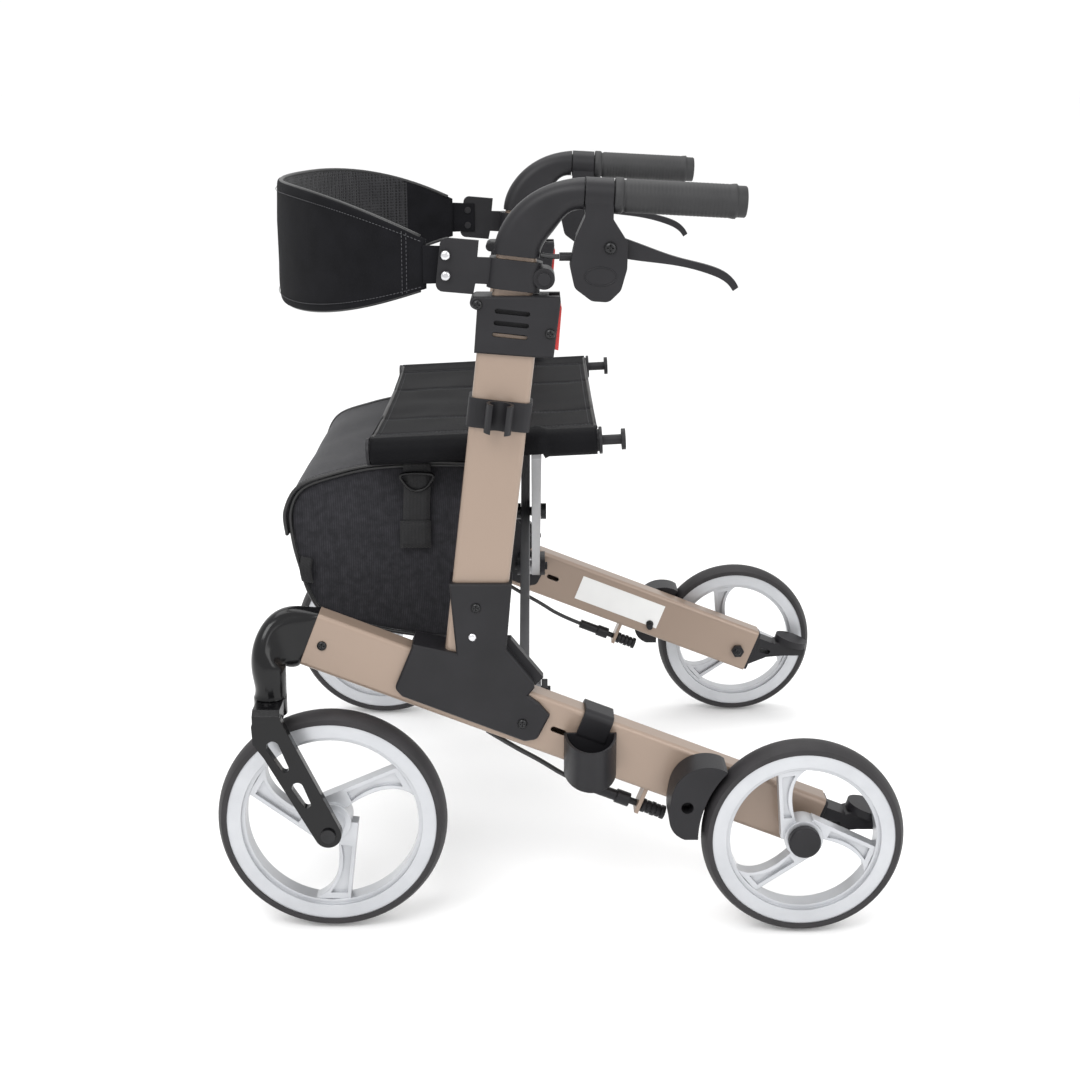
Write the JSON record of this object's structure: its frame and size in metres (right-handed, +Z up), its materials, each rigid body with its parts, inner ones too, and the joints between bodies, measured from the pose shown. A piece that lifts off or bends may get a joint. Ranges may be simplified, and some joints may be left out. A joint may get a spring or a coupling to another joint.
{
  "type": "rollator walker",
  "caption": "Folding four-wheel walker with swivelling front casters, sling seat, storage bag, curved backrest, height-adjustable handles and hand brakes.",
  "frame": {"origin": "on the floor, at the middle of the walker's length and width", "axes": "+X forward in the walking direction, +Y to the user's left, +Z up"},
  "size_m": [0.6778, 0.624, 0.7414],
  "materials": {
    "frame_paint": "champagne metallic satin",
    "charcoal_plastic": "fine textured moulding",
    "gloss_black": "polished moulding",
    "wheel_silver": "silver paint",
    "tyre_rubber": "solid rubber tread",
    "brace_metal": "satin anodised",
    "bright_steel": "zinc plated",
    "seat_vinyl": "coated cloth with a soft sheen",
    "bag_fabric": "woven textile with black piping",
    "backrest_cover": "foam covered in stretch cloth",
    "grip_rubber": "ribbed moulding",
    "lever_red": "red moulding",
    "cable_sheath": "black cable sheath"
  },
  "bodies": {
    "left_frame": {"left_lower_tube": "frame_paint", "left_upright": "frame_paint", "left_elbow": "gloss_black", "left_bracket": "charcoal_plastic", "left_latch_housing": "charcoal_plastic", "left_pedal": "charcoal_plastic", "left_rear_axle": "gloss_black", "left_cable_adjuster": "charcoal_plastic", "left_lower_cable": "cable_sheath", "cane_cup": "charcoal_plastic", "cane_clip": "charcoal_plastic", "bag": "bag_fabric"},
    "right_frame": {"right_lower_tube": "frame_paint", "right_upright": "frame_paint", "right_elbow": "gloss_black", "right_bracket": "charcoal_plastic", "right_latch_housing": "charcoal_plastic", "right_pedal": "charcoal_plastic", "right_rear_axle": "gloss_black", "right_cable_adjuster": "charcoal_plastic", "right_lower_cable": "cable_sheath"},
    "brace_front": {"cross_arm_front": "brace_metal", "cross_bolt": "bright_steel", "right_seat_tube": "brace_metal", "seat": "seat_vinyl"},
    "brace_rear": {"cross_arm_rear": "brace_metal", "left_seat_tube": "brace_metal"},
    "left_handle": {"left_handle_stem": "frame_paint", "left_handle_bend": "charcoal_plastic", "left_brake_housing": "charcoal_plastic", "left_grip": "grip_rubber", "left_backrest_clamp": "charcoal_plastic", "left_upper_cable": "cable_sheath", "backrest": "backrest_cover"},
    "right_handle": {"right_handle_stem": "frame_paint", "right_handle_bend": "charcoal_plastic", "right_brake_housing": "charcoal_plastic", "right_grip": "grip_rubber", "right_backrest_clamp": "charcoal_plastic", "right_upper_cable": "cable_sheath"},
    "left_brake_lever": {"left_brake_lever": "charcoal_plastic"},
    "left_height_lever": {"left_height_lever": "lever_red"},
    "left_caster": {"left_fork": "gloss_black", "left_front_axle": "bright_steel"},
    "left_front_wheel": {"left_front_tyre": "tyre_rubber", "left_front_rim": "wheel_silver"},
    "left_rear_wheel": {"left_rear_tyre": "tyre_rubber", "left_rear_rim": "wheel_silver"},
    "left_brake": {"left_brake_arm": "charcoal_plastic"},
    "right_brake_lever": {"right_brake_lever": "charcoal_plastic"},
    "right_height_lever": {"right_height_lever": "lever_red"},
    "right_caster": {"right_fork": "gloss_black", "right_front_axle": "bright_steel"},
    "right_front_wheel": {"right_front_tyre": "tyre_rubber", "right_front_rim": "wheel_silver"},
    "right_rear_wheel": {"right_rear_tyre": "tyre_rubber", "right_rear_rim": "wheel_silver"},
    "right_brake": {"right_brake_arm": "charcoal_plastic"}
  },
  "joints": [
    {"name": "fold", "type": "hinge", "parent": "left_frame", "child": "brace_front", "pos_m": [0.03005, 0.208, 0.222], "axis": [-1, 0, 0], "range_deg": [0, 43], "deforming": ["seat", "bag", "backrest"]},
    {"name": "fold_cross", "type": "hinge", "parent": "brace_front", "child": "brace_rear", "pos_m": [0.03005, 0, 0.35272], "axis": [1, 0, 0], "range_deg": [0, 86]},
    {"name": "fold_right", "type": "hinge", "parent": "brace_rear", "child": "right_frame", "pos_m": [0.03005, -0.208, 0.222], "axis": [-1, 0, 0], "range_deg": [0, 43]},
    {"name": "left_handle_slide", "type": "slide", "parent": "left_frame", "child": "left_handle", "axis": [-0.1115, 0, 0.9938], "range_m": [0, 0.13]},
    {"name": "left_height_lever_hinge", "type": "hinge", "parent": "left_frame", "child": "left_height_lever", "pos_m": [0.00455, 0.242, 0.62], "axis": [0, 1, 0], "range_deg": [0, 60]},
    {"name": "left_caster_swivel", "type": "hinge", "parent": "left_frame", "child": "left_caster", "pos_m": [0.28305, 0.27, 0.242], "axis": [0, 0, 1], "continuous": true},
    {"name": "left_front_wheel_spin", "type": "hinge", "parent": "left_caster", "child": "left_front_wheel", "pos_m": [0.22545, 0.27, 0.1135], "axis": [0, 1, 0], "continuous": true},
    {"name": "left_rear_wheel_spin", "type": "hinge", "parent": "left_frame", "child": "left_rear_wheel", "pos_m": [-0.23895, 0.28, 0.1], "axis": [0, 1, 0], "continuous": true},
    {"name": "left_brake_lever_pull", "type": "hinge", "parent": "left_handle", "child": "left_brake_lever", "pos_m": [-0.04365, 0.25, 0.6775], "axis": [0, 1, 0], "range_deg": [0, 12], "stiffness_Nm_per_rad": 1},
    {"name": "left_brake_arm_hinge", "type": "hinge", "parent": "left_frame", "child": "left_brake", "pos_m": [-0.12377, 0.275, 0.13363], "axis": [0, -1, 0], "range_deg": [0, 3.9]},
    {"name": "right_handle_slide", "type": "slide", "parent": "right_frame", "child": "right_handle", "axis": [-0.1115, 0, 0.9938], "range_m": [0, 0.13]},
    {"name": "right_height_lever_hinge", "type": "hinge", "parent": "right_frame", "child": "right_height_lever", "pos_m": [0.00455, -0.242, 0.62], "axis": [0, 1, 0], "range_deg": [0, 60]},
    {"name": "right_caster_swivel", "type": "hinge", "parent": "right_frame", "child": "right_caster", "pos_m": [0.28305, -0.27, 0.242], "axis": [0, 0, 1], "continuous": true},
    {"name": "right_front_wheel_spin", "type": "hinge", "parent": "right_caster", "child": "right_front_wheel", "pos_m": [0.22545, -0.27, 0.1135], "axis": [0, 1, 0], "continuous": true},
    {"name": "right_rear_wheel_spin", "type": "hinge", "parent": "right_frame", "child": "right_rear_wheel", "pos_m": [-0.23895, -0.28, 0.1], "axis": [0, 1, 0], "continuous": true},
    {"name": "right_brake_lever_pull", "type": "hinge", "parent": "right_handle", "child": "right_brake_lever", "pos_m": [-0.04365, -0.25, 0.6775], "axis": [0, 1, 0], "range_deg": [0, 12], "stiffness_Nm_per_rad": 1},
    {"name": "right_brake_arm_hinge", "type": "hinge", "parent": "right_frame", "child": "right_brake", "pos_m": [-0.12377, -0.275, 0.13363], "axis": [0, -1, 0], "range_deg": [0, 3.9]}
  ],
  "couplings": [
    {"joint": "fold_cross", "follows": "fold", "ratio": 2},
    {"joint": "fold_right", "follows": "fold", "ratio": 1},
    {"joint": "left_brake_arm_hinge", "follows": "left_brake_lever_pull", "ratio": 0.325},
    {"joint": "right_brake_arm_hinge", "follows": "right_brake_lever_pull", "ratio": 0.325},
    {"joint": "right_handle_slide", "follows": "left_handle_slide", "ratio": 1}
  ]
}
